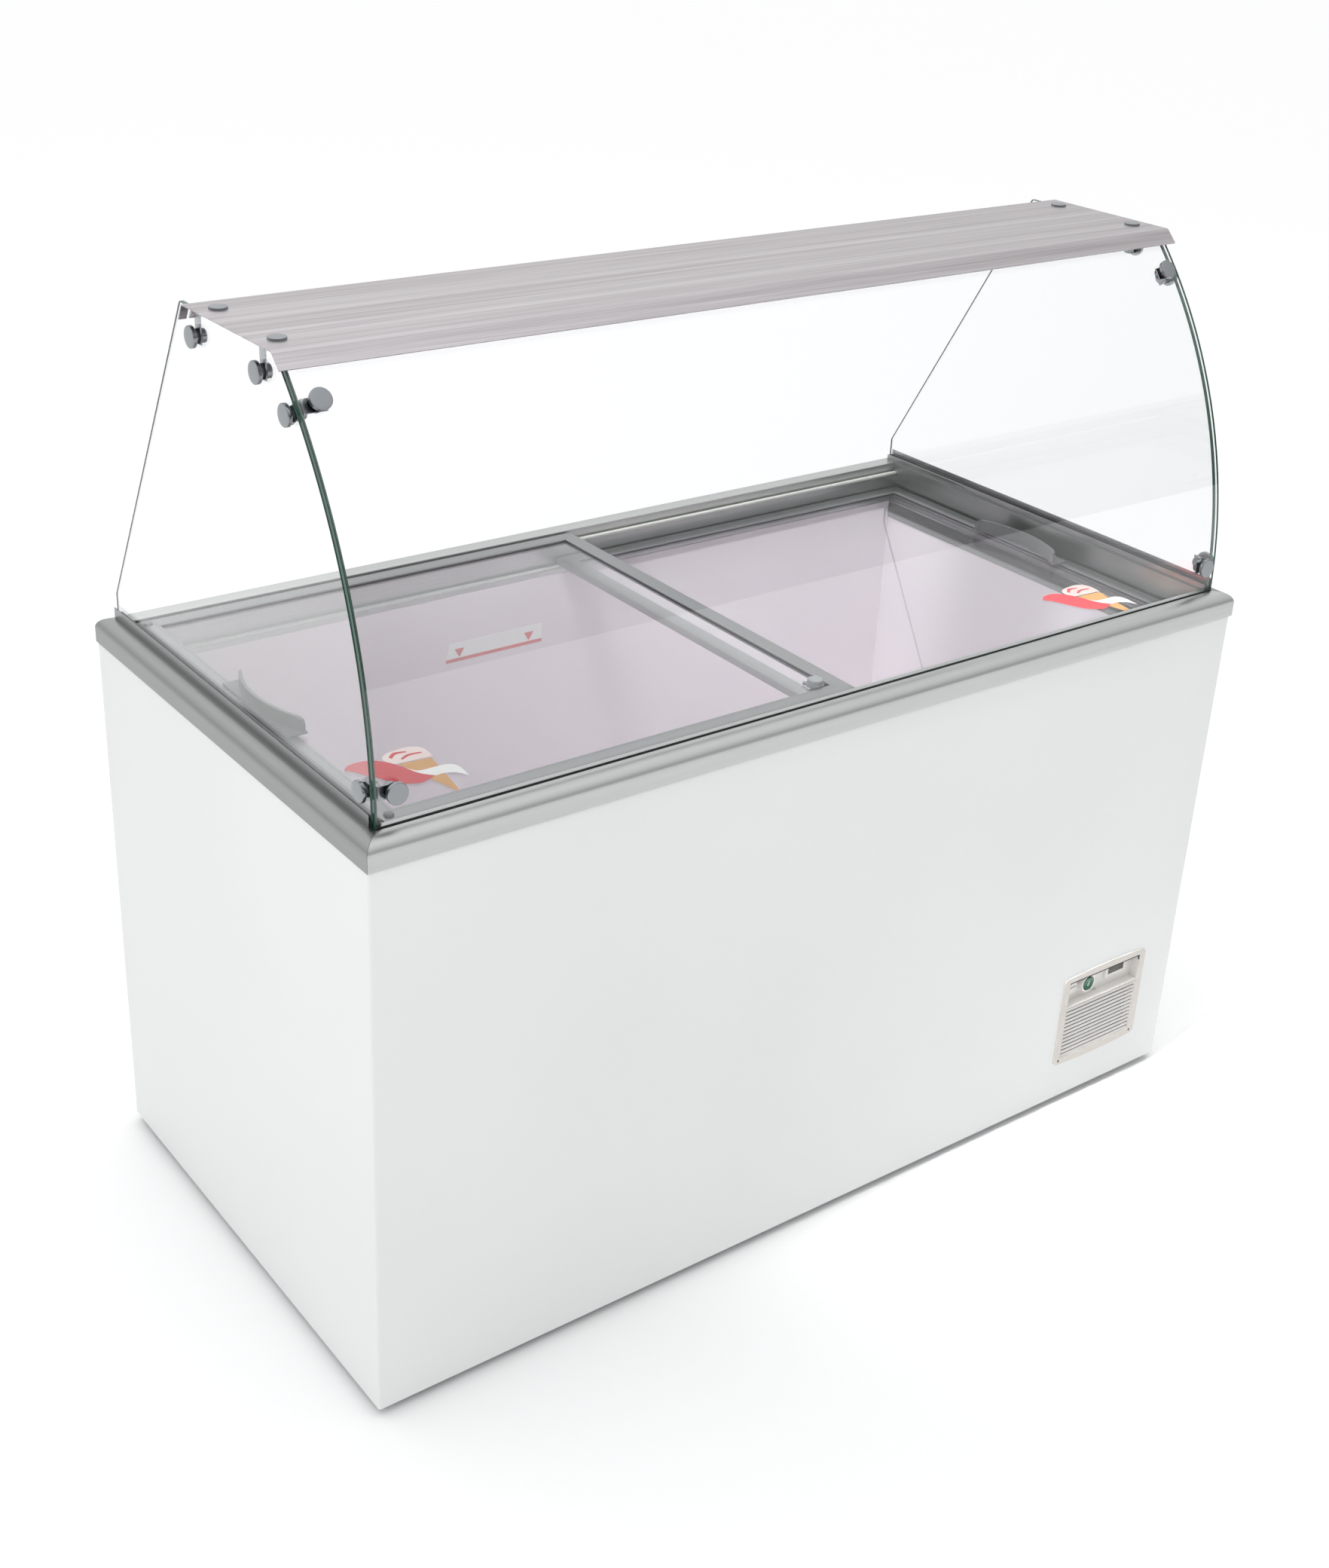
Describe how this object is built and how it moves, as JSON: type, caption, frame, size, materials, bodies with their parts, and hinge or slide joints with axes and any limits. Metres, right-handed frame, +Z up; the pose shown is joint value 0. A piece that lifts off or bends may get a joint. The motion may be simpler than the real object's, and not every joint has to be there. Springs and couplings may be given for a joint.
{
  "type": "chest freezer",
  "caption": "Shop chest freezer with sliding flat glass lids on two levels, a curved glass canopy under a steel shelf and a front control panel.",
  "frame": {"origin": "on the floor, under the middle of the whole object's bounding box", "axes": "+X to the right along the length, +Y to the rear service side, +Z up; the curved glass and control panel face -Y"},
  "size_m": [1.357, 0.7, 1.2362],
  "materials": {
    "white_enamel": "satin",
    "zinc_steel": "matte",
    "black_rubber": "matte",
    "foam": "matte",
    "liner_enamel": "satin",
    "copper_tube": "satin",
    "drain_plastic": "matte",
    "plug_plastic": "matte",
    "anodised_rim": "satin",
    "anodised_track": "satin",
    "glide_nylon": "matte",
    "lid_frame": "satin",
    "lid_glass": "gloss",
    "grip_plastic": "satin",
    "clear_silicone": "gloss",
    "canopy_glass": "gloss",
    "brushed_shelf": "satin",
    "chrome_clamp": "polished",
    "bezel_plastic": "satin",
    "louvre_plastic": "satin",
    "black_screw": "satin",
    "green_rocker": "gloss",
    "lcd": "gloss",
    "black_enamel": "satin",
    "condenser_metal": "satin",
    "motor_black": "matte",
    "gland_plastic": "matte"
  },
  "bodies": {
    "cabinet": {"front_panel": "white_enamel", "left_side_panel": "white_enamel", "right_side_panel": "white_enamel", "rear_panel": "white_enamel", "rear_vent_grille": "white_enamel", "base_plate": "zinc_steel", "fan_shroud": "zinc_steel", "shelf_nuts": "zinc_steel", "levelling_feet": "black_rubber", "glass_gaskets": "black_rubber", "clamp_washers": "black_rubber", "insulation": "foam", "inner_liner": "liner_enamel", "evaporator_coil": "copper_tube", "refrigerant_pipes": "copper_tube", "drain_pipe": "drain_plastic", "rim_front": "anodised_rim", "rim_rear": "anodised_rim", "rim_left": "anodised_rim", "rim_right": "anodised_rim", "rim_corner_keys": "anodised_rim", "lid_track_front": "anodised_track", "lid_track_rear": "anodised_track", "end_rail_left": "anodised_track", "end_rail_right": "anodised_track", "glass_channel_left": "anodised_track", "glass_channel_right": "anodised_track", "glide_strips": "glide_nylon", "shelf_buffers": "clear_silicone", "side_glass_left": "canopy_glass", "side_glass_right": "canopy_glass", "front_glass": "canopy_glass", "top_shelf": "brushed_shelf", "shelf_screws": "chrome_clamp", "shelf_hangers": "chrome_clamp", "clamp_bolts": "chrome_clamp", "clamp_nuts": "chrome_clamp", "corner_brackets": "chrome_clamp", "control_bezel": "bezel_plastic", "vent_louvre": "louvre_plastic", "switch_housing": "louvre_plastic", "display_frame": "louvre_plastic", "bezel_screws": "black_screw", "display_screen": "lcd", "compressor": "black_enamel", "condenser": "condenser_metal", "fan_motor": "motor_black", "power_inlet": "gland_plastic"},
    "left_lid": {"left_lid_frame": "lid_frame", "left_lid_glass": "lid_glass", "left_lid_handle": "grip_plastic", "left_lid_buffers": "clear_silicone"},
    "right_lid": {"right_lid_frame": "lid_frame", "right_lid_glass": "lid_glass", "right_lid_handle": "grip_plastic"},
    "lock_knob": {"lid_lock_knob": "grip_plastic"},
    "rocker": {"power_switch": "green_rocker"},
    "dial": {"thermostat_dial": "bezel_plastic"},
    "fan": {"fan_blades": "condenser_metal"},
    "plug": {"drain_plug": "plug_plastic"}
  },
  "joints": [
    {"name": "left_lid_slide", "type": "slide", "parent": "cabinet", "child": "left_lid", "axis": [1, 0, 0], "range_m": [0, 0.6]},
    {"name": "right_lid_slide", "type": "slide", "parent": "cabinet", "child": "right_lid", "axis": [-1, 0, 0], "range_m": [0, 0.6]},
    {"name": "lock_knob_turn", "type": "hinge", "parent": "left_lid", "child": "lock_knob", "pos_m": [-0.02, -0.274, 0.767], "axis": [0, 0, 1], "range_deg": [0, 90]},
    {"name": "rocker_tilt", "type": "hinge", "parent": "cabinet", "child": "rocker", "pos_m": [0.499, -0.341, 0.1965], "axis": [1, 0, 0], "range_deg": [-7, 7]},
    {"name": "dial_turn", "type": "hinge", "parent": "cabinet", "child": "dial", "pos_m": [0.47, -0.336, 0.1965], "axis": [0, -1, 0], "range_deg": [0, 300]},
    {"name": "fan_spin", "type": "hinge", "parent": "cabinet", "child": "fan", "pos_m": [0.53, -0.236, 0.128], "axis": [0, 1, 0], "continuous": true},
    {"name": "plug_lift", "type": "slide", "parent": "cabinet", "child": "plug", "axis": [0, 0, 1], "range_m": [0, 0.04]}
  ]
}
